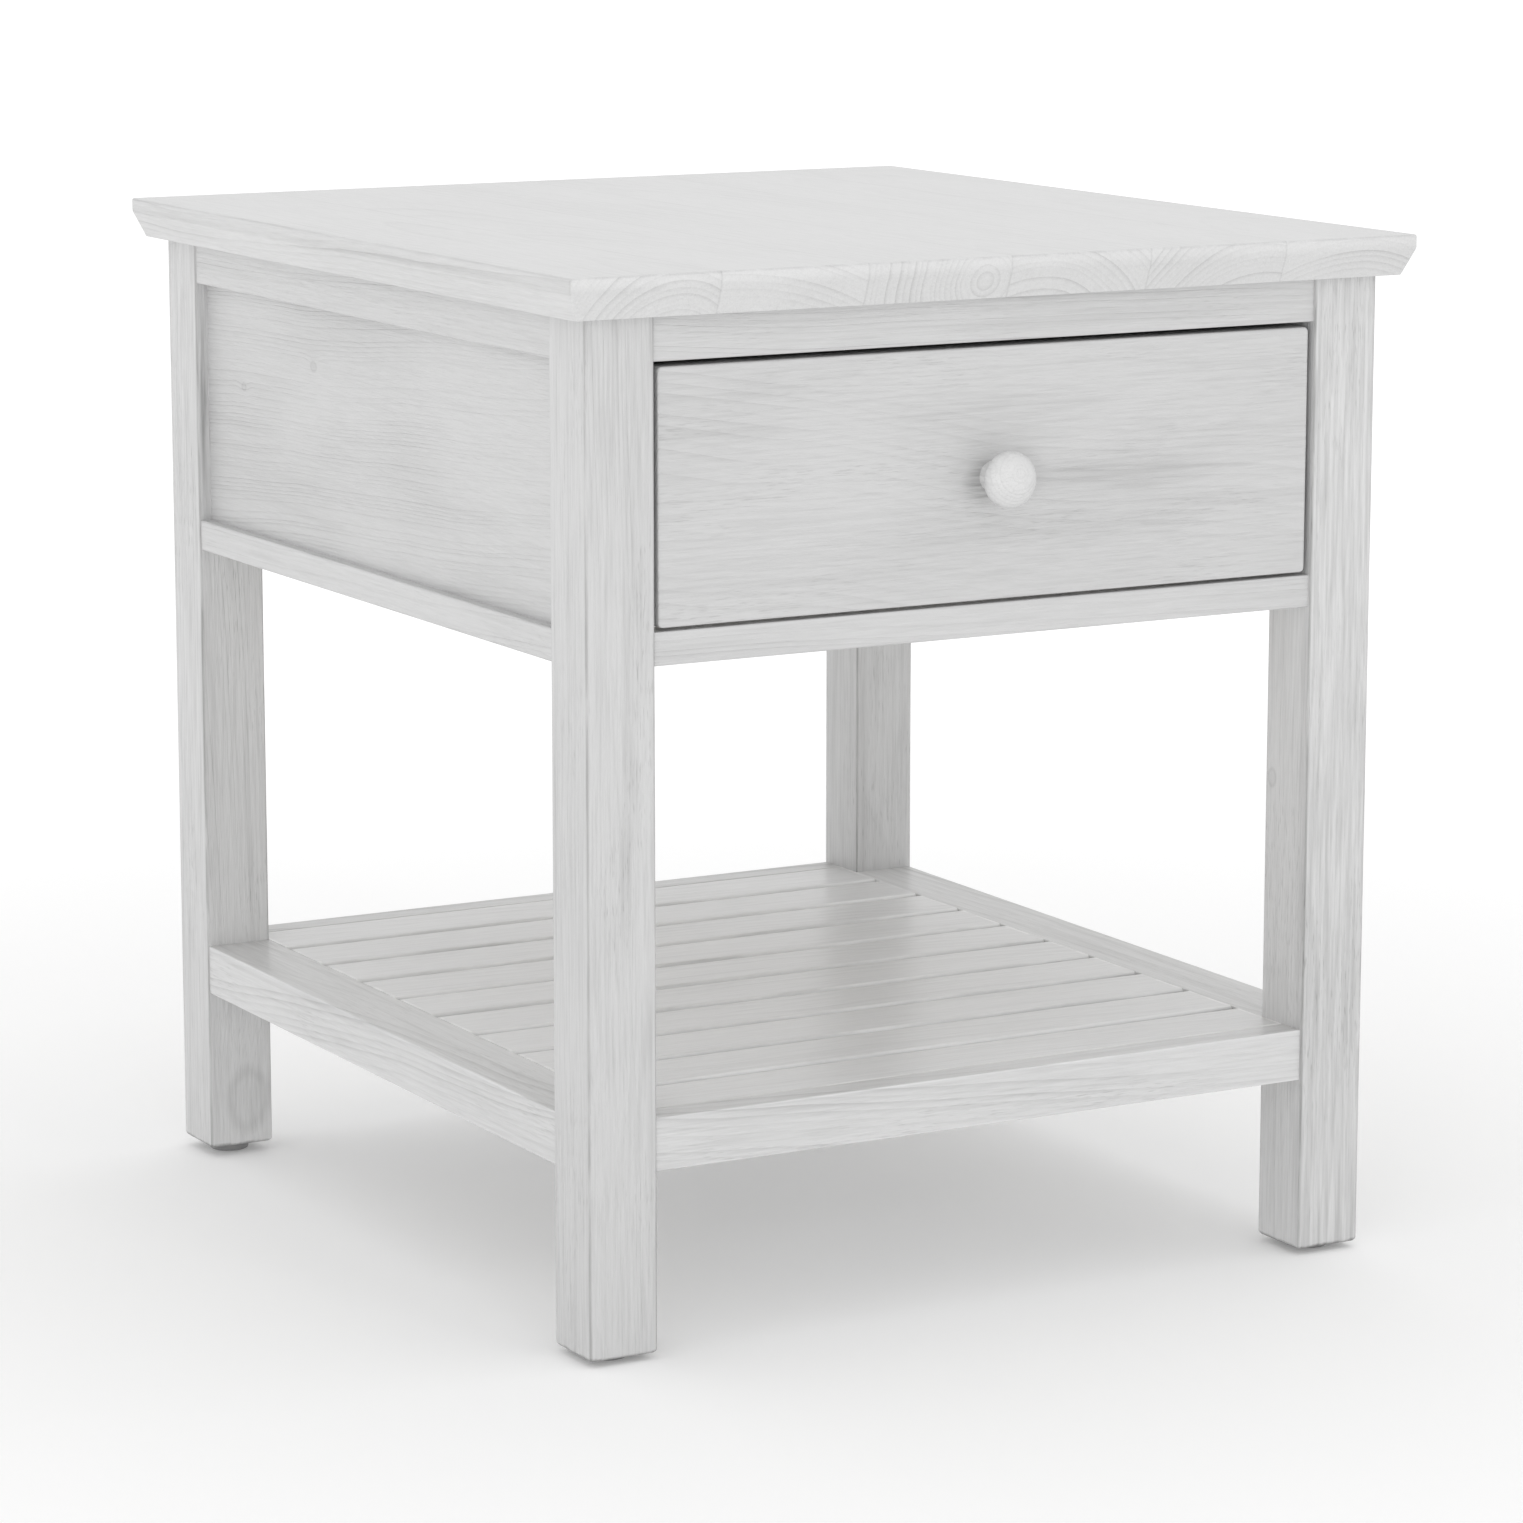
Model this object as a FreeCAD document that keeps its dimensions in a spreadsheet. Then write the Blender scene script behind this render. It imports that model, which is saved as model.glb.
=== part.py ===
import FreeCAD, Part
import Sketcher
import os
import re

# A square side table with one drawer on ball-bearing slides and a slatted shelf.
# Millimetres, +Z up. The drawer faces -Y and +X is the table's right. The origin is
# on the floor, midway between the four legs.

doc = FreeCAD.newDocument("side_table")
sheet = doc.addObject("Spreadsheet::Sheet", "Sizes")

driving_sizes = [
    ("table_height", 616, "floor to the face of the tabletop"),
    ("top_width", 558, "tabletop, left to right"),
    ("top_depth", 610, "tabletop, front to back"),
    ("top_thickness", 24, "tabletop slab"),
    ("top_lip", 8, "upright lip round the tabletop, above its bevel"),
    ("top_bevel", 6.5, "how far the bevel runs in under the slab"),
    ("top_bevel_round", 5, "softened corner between the lip and the bevel"),
    ("top_arris", 1.6, "rounded arris of the tabletop's face"),
    ("top_overhang", 17, "tabletop past the legs, all round"),
    ("leg_side", 43, "square leg"),
    ("leg_arris", 1.4, "rounded long corners of a leg"),
    ("leg_foot_round", 3, "rounded bottom edges of a leg"),
    ("glide_height", 6, "foot glide under each back leg"),
    ("front_glide_height", 3.5, "thinner foot glide under each front leg"),
    ("glide_radius", 12.5, "foot glide"),
    ("glide_round", 1.5, "rounded rims of a glide"),
    ("glide_nail_radius", 1.25, "nail of a glide"),
    ("glide_nail_length", 16, "nail of a glide, up into the leg"),
    ("apron_height", 195, "underside of the top to the bottom of the low rails"),
    ("top_rail_height", 26, "rails under the tabletop"),
    ("low_rail_height", 19, "rails below the drawer and the side panels"),
    ("rail_thick", 20, "apron rails"),
    ("rail_arris", 0.8, "rounded long edges of a rail"),
    ("front_recess", 2, "front and back rails behind the leg faces"),
    ("side_recess", 1, "side rails behind the leg faces"),
    ("panel_recess", 8, "panels behind the leg faces"),
    ("panel_thick", 9, "side and back panels"),
    ("panel_tongue", 5, "panel edge held in the rails and legs"),
    ("tenon_length", 15, "tenon into a leg"),
    ("tenon_thick", 8, "tenon"),
    ("shelf_height", 140, "floor to the face of the shelf"),
    ("shelf_rail_height", 31, "shelf rails"),
    ("shelf_front_thick", 19, "front and back shelf rails"),
    ("slat_count", 10, "slats in the shelf"),
    ("slat_gap", 6, "slot between two slats"),
    ("slat_thick", 16, "slat"),
    ("slat_arris", 2.2, "rounded long edges of a slat"),
    ("cleat_width", 18, "cleat under the slat ends"),
    ("top_cleat_side", 20, "square cleat that holds the tabletop"),
    ("screw_head_radius", 3.2, "countersunk screws"),
    ("screw_shank_radius", 1.6, "countersunk screws"),
    ("screw_sink", 1.6, "height of a countersunk head"),
    ("frame_screw_length", 28, "screws of the shelf and the tabletop"),
    ("slide_height", 35, "drawer slide"),
    ("slide_thick", 12.7, "drawer slide, case to drawer"),
    ("slide_gauge", 1.2, "sheet of both slide members"),
    ("slide_setback", 3, "slide behind the drawer front"),
    ("case_short", 2.2, "case member's channel short of the drawer"),
    ("case_lip", 2.5, "turned-in lip of the case member"),
    ("drawer_short", 4, "drawer member's channel short of the case"),
    ("race_gap", 4.7, "space for the balls between the two members"),
    ("race_play", 0.3, "play on each side of a ball"),
    ("ball_count", 8, "balls in each row of a cage"),
    ("ball_pitch", 16, "ball to ball"),
    ("ball_hole_play", 0.1, "play of a ball in its cage"),
    ("cage_gauge", 0.6, "sheet of a ball cage"),
    ("cage_inset", 2.2, "cage from the case"),
    ("cage_margin", 0.5, "cage past its ball holes"),
    ("cage_length", 140, "ball cage"),
    ("cage_start", 180, "front of a cage behind the slide's front, drawer shut"),
    ("bumper_length", 4, "rubber stop at the back of a slide"),
    ("bumper_height", 18, "rubber stop at the back of a slide"),
    ("slide_screw_end", 37, "first and last slide screw from the slide's ends"),
    ("case_screw_length", 16, "screws of the case member"),
    ("drawer_screw_length", 11, "screws of the drawer member"),
    ("batten_height", 45, "batten that carries a slide"),
    ("front_thick", 19, "drawer front"),
    ("front_side_gap", 3.2, "drawer front to a leg"),
    ("front_top_gap", 3, "drawer front to the top rail"),
    ("front_low_gap", 2, "drawer front to the low rail"),
    ("front_corner", 3, "rounded corners of the drawer front"),
    ("front_arris", 1.2, "rounded arrises of the drawer front's face"),
    ("box_back_gap", 33, "drawer box to the back rails"),
    ("box_height", 110, "drawer box"),
    ("box_lift", 12, "drawer box above the low rail"),
    ("box_thick", 12, "boards of the drawer box"),
    ("box_rabbet", 5, "rabbets and grooves in the drawer box"),
    ("box_arris", 0.8, "rounded edges of the drawer box"),
    ("bottom_thick", 6, "drawer bottom"),
    ("bottom_lift", 10, "drawer bottom above the box's lower edge"),
    ("slide_rise", 45, "middle of the slide above the box's lower edge"),
    ("front_screw_inset", 44.3, "drawer front screws from the inside of the box"),
    ("front_screw_edge", 28, "drawer front screws from the box's edges"),
    ("front_screw_length", 24, "drawer front screws"),
    ("knob_radius", 16.4, "head of the knob"),
    ("knob_length", 28, "knob in front of the drawer"),
    ("knob_bulge", 9.6, "half the depth of the knob's head"),
    ("knob_base_radius", 9, "foot of the knob's neck"),
    ("knob_neck_radius", 7.5, "knob's neck at the head"),
    ("knob_cove", 2.5, "hollow between the knob's neck and head"),
    ("knob_drop", 1.5, "knob below the middle of the drawer front"),
    ("knob_screw_radius", 2, "machine screw of the knob"),
    ("knob_screw_bite", 15, "machine screw inside the knob"),
    ("knob_screw_head_radius", 4.5, "machine screw of the knob"),
    ("knob_screw_head_height", 2.5, "machine screw of the knob"),
]
for row, (alias, value, note) in enumerate(driving_sizes, start=1):
    sheet.set(f"A{row}", note)
    sheet.set(f"B{row}", str(value))
    sheet.setAlias(f"B{row}", alias)
doc.recompute()

# Places that several pieces share, worked out from the sheet.
half_x = "(top_width / 2 - top_overhang)"  # outer face of a leg
half_y = "(top_depth / 2 - top_overhang)"
inner_x = f"({half_x} - leg_side)"  # inner face of a leg
inner_y = f"({half_y} - leg_side)"
leg_x = f"({half_x} - leg_side / 2)"  # middle of a leg
leg_y = f"({half_y} - leg_side / 2)"
under_top = "(table_height - top_thickness)"
top_rail_low = f"({under_top} - top_rail_height)"
low_rail_low = f"({under_top} - apron_height)"
low_rail_high = f"({low_rail_low} + low_rail_height)"
side_rail_x = f"({half_x} - side_recess - rail_thick / 2)"
front_rail_y = f"({half_y} - front_recess - rail_thick / 2)"
panel_x = f"({half_x} - panel_recess - panel_thick / 2)"
panel_y = f"({half_y} - panel_recess - panel_thick / 2)"
panel_low = f"({low_rail_high} - panel_tongue)"
panel_height = f"({top_rail_low} - {low_rail_high} + 2 * panel_tongue)"
shelf_rail_low = "(shelf_height - shelf_rail_height)"
shelf_rail_width = "(leg_side - side_recess)"
slat_field = f"(2 * ({half_y} - front_recess - shelf_front_thick))"
slat_width = f"(({slat_field} - (slat_count - 1) * slat_gap) / slat_count)"
slat_pitch = f"({slat_width} + slat_gap)"
cleat_height = "(shelf_rail_height - slat_thick)"
cleat_x = f"({inner_x} - cleat_width / 2)"
top_cleat_x = f"({side_rail_x} - rail_thick / 2 - top_cleat_side / 2)"
front_back = f"({half_y} - front_recess - front_thick)"  # back of the drawer front
box_low = f"({low_rail_high} + box_lift)"
box_x = f"({inner_x} - slide_thick)"  # outer face of the drawer box
box_inside_x = f"({box_x} - box_thick)"
box_depth = f"({front_back} + {half_y} - front_recess - rail_thick - box_back_gap)"
box_middle_y = f"({box_depth} / 2 - {front_back})"
slide_z = f"({box_low} + slide_rise)"
slide_y = f"(slide_setback - {front_back})"
case_reach = "(slide_thick - case_short)"
drawer_reach = "(slide_thick - drawer_short)"
ball_radius = "(race_gap / 2 - race_play)"
ball_inset = f"(drawer_short + {ball_radius} + ball_hole_play)"
batten_thick = f"({panel_x} - panel_thick / 2 - {inner_x})"
inner_height = "(slide_height - 2 * slide_gauge - 2 * race_gap)"
race_z = f"({inner_height} / 2 + race_gap / 2)"
front_height = f"({top_rail_low} - front_top_gap - {low_rail_high} - front_low_gap)"
front_low = f"({low_rail_high} + front_low_gap)"
knob_z = f"({front_low} + {front_height} / 2 - knob_drop)"

alias_words = re.compile(r"\b(" + "|".join(alias for alias, value, note in driving_sizes) + r")\b")
pieces = []


def bind(thing, prop, text):
    """Tie a property to the sheet, in the sheet's bare names."""
    thing.setExpression(prop, alias_words.sub(r"Sizes.\1", str(text)))


def size_of(alias):
    return sheet.get(alias)


def keep(thing, label):
    thing.Label = label
    pieces.append(thing)
    return thing


def put(thing, x, y, z, turn=None):
    """Stand a thing at a place, turned first if need be."""
    if turn:
        thing.Placement = FreeCAD.Placement(FreeCAD.Vector(), FreeCAD.Rotation(*turn))
    for axis, text in zip("xyz", (x, y, z)):
        bind(thing, f"Placement.Base.{axis}", text)
    return thing


def new_body(name, x, y, z):
    return put(doc.addObject("PartDesign::Body", name), x, y, z)


def floor_plane(body):
    return next(part for part in body.Origin.OriginFeatures if part.Role == "XY_Plane")


def rectangle(body, name, wide, deep, at=(0, 0, 0)):
    """A rectangle about its own middle, on the body's floor plane moved to a place."""
    sketch = body.newObject("Sketcher::SketchObject", name)
    sketch.AttachmentSupport = [(floor_plane(body), "")]
    sketch.MapMode = "FlatFace"
    corners = [FreeCAD.Vector(x, y, 0) for x, y in ((-1, -1), (1, -1), (1, 1), (-1, 1))]
    for corner in range(4):
        sketch.addGeometry(Part.LineSegment(corners[corner], corners[(corner + 1) % 4]))
    for side in range(4):
        sketch.addConstraint(Sketcher.Constraint("Coincident", side, 2, (side + 1) % 4, 1))
        level = "Horizontal" if side % 2 == 0 else "Vertical"
        sketch.addConstraint(Sketcher.Constraint(level, side))
    sketch.addConstraint(Sketcher.Constraint("Symmetric", 0, 1, 1, 2, -1, 1))
    for word, side in (("wide", 0), ("deep", 1)):
        index = sketch.addConstraint(Sketcher.Constraint("Distance", side, 2))
        sketch.renameConstraint(index, word)
    bind(sketch, "Constraints.wide", wide)
    bind(sketch, "Constraints.deep", deep)
    for axis, text in zip("xyz", at):
        bind(sketch, f"AttachmentOffset.Base.{axis}", text)
    return sketch


def slab(body, name, size, at=(0, 0, 0)):
    """A block padded up from a rectangle. Its place is the middle of its underside."""
    wide, deep, tall = size
    pad = body.newObject("PartDesign::Pad", f"{name}_pad")
    pad.Profile = rectangle(body, f"{name}_outline", wide, deep, at)
    bind(pad, "Length", tall)
    body.Tip = pad
    return pad


def round_edges(body, radius, choose):
    """Round the edges that the test picks, each given as its two ends."""
    doc.recompute()
    base = body.Tip
    names = []
    for number, edge in enumerate(base.Shape.Edges, start=1):
        start = edge.firstVertex(True).Point
        end = edge.lastVertex(True).Point
        if choose(start, end):
            names.append(f"Edge{number}")
    fillet = body.newObject("PartDesign::Fillet", f"{body.Name}_round")
    fillet.Base = (base, names)
    bind(fillet, "Radius", radius)
    body.Tip = fillet
    return fillet


def runs_along(axis):
    """A test for straight edges that run along an axis."""
    def test(start, end):
        step = end - start
        return step.Length > 0.1 and abs(step[axis]) > 0.999 * step.Length
    return test


def lies_at(height):
    """A test for edges that lie level at a height above the body's floor."""
    return lambda start, end: abs(start.z - height) < 0.1 and abs(end.z - height) < 0.1


def board(name, size, at, radius, axis):
    """A board with its edges along one axis rounded."""
    body = new_body(name, *at)
    slab(body, name, size)
    round_edges(body, radius, runs_along(axis))
    return body


def rail(name, size, at, axis):
    """A rail with a tenon on each end, set in from its upper and lower edges."""
    body = board(name, size, at, "rail_arris", axis)
    tenon = ["tenon_thick", "tenon_thick", f"({size[2]} - 2 * panel_tongue)"]
    tenon[axis] = f"({size[axis]} + 2 * tenon_length)"
    slab(body, f"{name}_tenon", tenon, (0, 0, "panel_tongue"))
    return body


def cut(base, tools, label):
    """A piece with the seats of other pieces cut out of it in their own shapes."""
    held = doc.addObject("Part::Compound", f"{label}_seats")
    held.Links = tools
    piece = doc.addObject("Part::Cut", f"{label}_cut")
    piece.Base = base
    piece.Tool = held
    return keep(piece, label)


def mirror(source, label, normal=(1, 0, 0)):
    """The same piece for the other side of the table."""
    piece = doc.addObject("Part::Mirroring", f"{label}_mirrored")
    piece.Source = source
    piece.Normal = FreeCAD.Vector(*normal)
    return piece if label.endswith("_blank") else keep(piece, label)


def group(things, name):
    together = doc.addObject("Part::Compound", name)
    together.Links = things
    return together


turn_into = {
    "+z": None,
    "-x": (FreeCAD.Vector(0, 1, 0), -90),
    "+x": (FreeCAD.Vector(0, 1, 0), 90),
    "-y": (FreeCAD.Vector(1, 0, 0), 90),
}


def screw(name, length, at, way):
    """A countersunk screw from the face of its head, pointing one way."""
    head = doc.addObject("Part::Cone", f"{name}_head")
    bind(head, "Radius1", "screw_head_radius")
    bind(head, "Radius2", "screw_shank_radius")
    bind(head, "Height", "screw_sink")
    shank = doc.addObject("Part::Cylinder", f"{name}_shank")
    bind(shank, "Radius", "screw_shank_radius")
    bind(shank, "Height", length)
    both = doc.addObject("Part::Fuse", name)
    both.Base = head
    both.Tool = shank
    return put(both, *at, turn=turn_into[way])


def make_glides():
    glides = []
    for side in (-1, 1):
        for end in (-1, 1):
            name = f"glide_{len(glides) + 1}"
            height = "glide_height" if end > 0 else "front_glide_height"
            body = new_body(name, f"{side} * {leg_x}", f"{end} * {leg_y}", 0)
            disc = body.newObject("PartDesign::AdditiveCylinder", f"{name}_disc")
            bind(disc, "Radius", "glide_radius")
            bind(disc, "Height", height)
            body.Tip = disc
            round_edges(body, "glide_round", lambda start, end: start.distanceToPoint(end) < 0.1)
            nail = body.newObject("PartDesign::AdditiveCylinder", f"{name}_nail")
            bind(nail, "Radius", "glide_nail_radius")
            bind(nail, "Height", f"{height} + glide_nail_length")
            body.Tip = nail
            glides.append(body)
    return glides


def make_leg_blank(name, middle_y, foot):
    """A left leg before its mortises, standing on its glide."""
    body = new_body(name, f"-{leg_x}", middle_y, foot)
    slab(body, name, ("leg_side", "leg_side", f"({under_top} - {foot})"))
    round_edges(body, "leg_arris", runs_along(2))
    round_edges(body, "leg_foot_round", lies_at(0))
    return body


def make_tabletop():
    """The slab: a bevel that widens upwards, with an upright lip above it."""
    body = new_body("tabletop_slab", 0, 0, under_top)
    bevel_height = "(top_thickness - top_lip)"
    bevel = body.newObject("PartDesign::AdditiveLoft", "top_bevelled")
    bevel.Profile = rectangle(body, "top_underside", "top_width - 2 * top_bevel", "top_depth - 2 * top_bevel")
    bevel.Sections = [rectangle(body, "top_full_size", "top_width", "top_depth", (0, 0, bevel_height))]
    bevel.Ruled = True
    body.Tip = bevel
    slab(body, "top_lip", ("top_width", "top_depth", "top_lip"), (0, 0, bevel_height))
    round_edges(body, "top_bevel_round", lies_at(size_of("top_thickness") - size_of("top_lip")))
    round_edges(body, "top_arris", lambda start, end: abs(start.z - end.z) > 0.1)
    round_edges(body, "top_arris", lies_at(size_of("top_thickness")))
    return body


def make_side_panel():
    body = new_body("left_side_panel_board", f"-{panel_x}", 0, panel_low)
    slab(body, "left_side_panel_board", ("panel_thick", f"2 * ({inner_y} + panel_tongue)", panel_height))
    return body


def make_back_panel():
    body = new_body("back_panel_board", 0, panel_y, panel_low)
    slab(body, "back_panel_board", (f"2 * ({inner_x} + panel_tongue)", "panel_thick", panel_height))
    return body


def make_slat(number):
    middle = f"({number} * {slat_pitch} + {slat_width} / 2 - {slat_field} / 2)"
    return board(f"shelf_slat_{number + 1:02d}_board", (f"2 * {inner_x}", slat_width, "slat_thick"),
                 (0, middle, "(shelf_height - slat_thick)"), "slat_arris", 0)


def make_frame_screws():
    """Screws up through the shelf cleats and the top cleats, and sideways through the shelf cleats."""
    screws = []
    length = "frame_screw_length"
    for side in (-1, 1):
        for number in range(int(size_of("slat_count"))):
            middle = f"({number} * {slat_pitch} + {slat_width} / 2 - {slat_field} / 2)"
            at = (f"{side} * {cleat_x}", middle, shelf_rail_low)
            screws.append(screw(f"slat_screw_{len(screws) + 1}", length, at, "+z"))
        for step in (-1, 0, 1):
            at = (f"{side} * ({inner_x} - cleat_width)", f"{3 * step} * {slat_pitch}",
                  f"({shelf_rail_low} + {cleat_height} / 2)")
            screws.append(screw(f"cleat_screw_{len(screws) + 1}", length, at, "+x" if side > 0 else "-x"))
            at = (f"{side} * {top_cleat_x}", f"{step} * {inner_y} * 3 / 4",
                  f"({under_top} - top_cleat_side)")
            screws.append(screw(f"top_screw_{len(screws) + 1}", length, at, "+z"))
    return screws


def make_case_member():
    """The left slide's fixed channel, open towards the drawer."""
    name = "left_slide_case_member_channel"
    body = new_body(name, f"-{inner_x}", slide_y, slide_z)
    middle = f"{box_depth} / 2"
    slab(body, f"{name}_web", ("slide_gauge", box_depth, "slide_height"),
         ("slide_gauge / 2", middle, "-slide_height / 2"))
    flange = (case_reach, box_depth, "slide_gauge")
    lip = ("slide_gauge", box_depth, "(slide_gauge + case_lip)")
    for word, flange_low, lip_low in (("upper", "(slide_height / 2 - slide_gauge)",
                                       "(slide_height / 2 - slide_gauge - case_lip)"),
                                      ("lower", "(-slide_height / 2)", "(-slide_height / 2)")):
        slab(body, f"{name}_{word}_flange", flange, (f"{case_reach} / 2", middle, flange_low))
        slab(body, f"{name}_{word}_lip", lip, (f"({case_reach} - slide_gauge / 2)", middle, lip_low))
    return body


def make_drawer_member():
    """The left slide's moving channel, screwed to the drawer and open towards the case."""
    name = "left_slide_drawer_member_channel"
    body = new_body(name, f"-{inner_x}", slide_y, slide_z)
    length = f"({box_depth} - bumper_length)"
    slab(body, f"{name}_web", ("slide_gauge", length, inner_height),
         ("(slide_thick - slide_gauge / 2)", f"{length} / 2", f"-{inner_height} / 2"))
    for word, low in (("upper", f"({inner_height} / 2 - slide_gauge)"), ("lower", f"(-{inner_height} / 2)")):
        slab(body, f"{name}_{word}_flange", (drawer_reach, length, "slide_gauge"),
             (f"(slide_thick - {drawer_reach} / 2)", f"{length} / 2", low))
    return body


def make_bumper():
    """The left slide's rubber stop, in the back end of the fixed channel."""
    body = new_body("left_bumper", f"-{inner_x}", slide_y, slide_z)
    width = f"({case_reach} - 2 * slide_gauge)"
    slab(body, "left_bumper", (width, "bumper_length", "bumper_height"),
         (f"(slide_gauge + {width} / 2)", f"({box_depth} - bumper_length / 2)", "-bumper_height / 2"))
    return body


def ball_y(number):
    return (f"({slide_y} + cage_start + cage_length / 2"
            f" + ({number} - (ball_count - 1) / 2) * ball_pitch)")


def make_balls():
    balls = []
    for number in range(int(size_of("ball_count"))):
        for level in (-1, 1):
            ball = doc.addObject("Part::Sphere", f"left_ball_{len(balls) + 1}")
            bind(ball, "Radius", ball_radius)
            put(ball, f"({ball_inset} - {inner_x})", ball_y(number), f"({slide_z} + {level} * {race_z})")
            balls.append(ball)
    return balls


def make_cage():
    """The left slide's ball cage: a thin channel with a hole for each ball."""
    name = "left_ball_cage_channel"
    body = new_body(name, f"-{inner_x}", f"({slide_y} + cage_start)", slide_z)
    middle = "cage_length / 2"
    reach = f"({ball_inset} + {ball_radius} + ball_hole_play + cage_margin - cage_inset)"
    slab(body, f"{name}_web", ("cage_gauge", "cage_length", f"(2 * {race_z} + cage_gauge)"),
         ("(cage_inset + cage_gauge / 2)", middle, f"(-{race_z} - cage_gauge / 2)"))
    for word, level in (("upper", 1), ("lower", -1)):
        slab(body, f"{name}_{word}_flange", (reach, "cage_length", "cage_gauge"),
             (f"(cage_inset + {reach} / 2)", middle, f"({level} * {race_z} - cage_gauge / 2)"))
    holes = []
    for number in range(int(size_of("ball_count"))):
        hole = doc.addObject("Part::Cylinder", f"left_ball_hole_{number + 1}")
        bind(hole, "Radius", f"{ball_radius} + ball_hole_play")
        bind(hole, "Height", "slide_height")
        put(hole, f"({ball_inset} - {inner_x})", ball_y(number), f"({slide_z} - slide_height / 2)")
        holes.append(hole)
    return cut(body, holes, "left_ball_cage")


def make_slide_screws(word, inset, length, way):
    """Three screws through the web of one slide member on the left."""
    screws = []
    member = f"({box_depth} - bumper_length)"
    for step in (0, 1, 2):
        y = f"({slide_y} + slide_screw_end + {step} * ({member} - 2 * slide_screw_end) / 2)"
        at = (f"({inset} - {inner_x})", y, slide_z)
        screws.append(screw(f"left_{word}_screw_{step + 1}", length, at, way))
    return screws


def make_drawer_front():
    body = new_body("drawer_front_board", 0, f"(front_thick / 2 - {front_back} - front_thick)", front_low)
    slab(body, "drawer_front_board", (f"(2 * ({inner_x} - front_side_gap))", "front_thick", front_height))
    round_edges(body, "front_corner", runs_along(1))
    face = -size_of("front_thick") / 2
    round_edges(body, "front_arris", lambda start, end: abs(start.y - face) + abs(end.y - face) < 0.1)
    return body


def make_front_screws():
    screws = []
    back = f"(box_thick - {front_back})"
    for side in (-1, 1):
        for height in ("front_screw_edge", "(box_height - front_screw_edge)"):
            at = (f"{side} * ({box_inside_x} - front_screw_inset)", back, f"({box_low} + {height})")
            screws.append(screw(f"front_screw_{len(screws) + 1}", "front_screw_length", at, "-y"))
    return screws


def make_knob():
    """A domed head on a short coved neck, turned about the knob's own axis."""
    body = new_body("knob_turning", 0, f"(-{front_back} - front_thick)", knob_z)
    neck = body.newObject("PartDesign::AdditiveCone", "knob_neck")
    bind(neck, "Radius1", "knob_base_radius")
    bind(neck, "Radius2", "knob_neck_radius")
    bind(neck, "Height", "knob_length - knob_bulge")
    body.Tip = neck
    head = body.newObject("PartDesign::AdditiveEllipsoid", "knob_head")
    bind(head, "Radius1", "knob_bulge")
    bind(head, "Radius2", "knob_radius")
    bind(head, "Radius3", "knob_radius")
    bind(head, "AttachmentOffset.Base.z", "knob_length - knob_bulge")
    bind(head, "Placement.Base.z", "knob_length - knob_bulge")
    body.Tip = head
    neck_top = size_of("knob_length") - size_of("knob_bulge")
    round_edges(body, "knob_cove",
                lambda start, end: start.distanceToPoint(end) < 0.1 and 0.1 < start.z < neck_top)
    put(body, 0, f"(-{front_back} - front_thick)", knob_z, turn_into["-y"])
    return body


def make_knob_screw():
    """A machine screw from inside the drawer box, through the front, into the knob."""
    at = (0, f"(box_thick - {front_back})", knob_z)
    shank = doc.addObject("Part::Cylinder", "knob_screw_shank")
    bind(shank, "Radius", "knob_screw_radius")
    bind(shank, "Height", "box_thick + front_thick + knob_screw_bite")
    head = doc.addObject("Part::Cylinder", "knob_screw_head")
    bind(head, "Radius", "knob_screw_head_radius")
    bind(head, "Height", "knob_screw_head_height")
    bind(head, "Placement.Base.z", "-knob_screw_head_height")
    both = doc.addObject("Part::Fuse", "knob_screw_body")
    both.Base = shank
    both.Tool = head
    return put(both, *at, turn=turn_into["-y"])


# The frame: rails and panels first, because they cut their own seats in the legs.
side_length = f"(2 * {inner_y})"
cross_length = f"(2 * {inner_x})"
side_panel = make_side_panel()
back_panel = make_back_panel()
glides = make_glides()
frame_screws = make_frame_screws()

rail_sizes = (("top_rail", top_rail_low, "top_rail_height"), ("low_rail", low_rail_low, "low_rail_height"))
side_rails, front_rails, back_rails = [], [], []
for word, low, height in rail_sizes:
    side_rails.append(rail(f"left_{word}_board", ("rail_thick", side_length, height),
                           (f"-{side_rail_x}", 0, low), 1))
    front_rails.append(rail(f"front_{word}_board", (cross_length, "rail_thick", height),
                            (0, f"-{front_rail_y}", low), 0))
    back_rails.append(rail(f"back_{word}_board", (cross_length, "rail_thick", height),
                           (0, front_rail_y, low), 0))
shelf_side = rail("shelf_left_rail_board", (shelf_rail_width, side_length, "shelf_rail_height"),
                  (f"-({inner_x} + {shelf_rail_width} / 2)", 0, shelf_rail_low), 1)
shelf_front = rail("shelf_front_rail_board", (cross_length, "shelf_front_thick", "shelf_rail_height"),
                   (0, f"-({slat_field} / 2 + shelf_front_thick / 2)", shelf_rail_low), 0)
shelf_back = mirror(shelf_front, "shelf_back_rail_blank", (0, 1, 0))

left_posts = [*side_rails, side_panel, shelf_side, *glides]
front_leg_blank = make_leg_blank("front_left_leg_blank", f"-{leg_y}", "front_glide_height")
back_leg_blank = make_leg_blank("back_left_leg_blank", leg_y, "glide_height")
front_leg = cut(front_leg_blank, [*left_posts, *front_rails, shelf_front], "front_left_leg")
back_leg = cut(back_leg_blank, [*left_posts, *back_rails, back_panel, shelf_back], "back_left_leg")
mirror(front_leg, "front_right_leg")
mirror(back_leg, "back_right_leg")
keep(group(glides, "glide_set"), "foot_glides")

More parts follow.
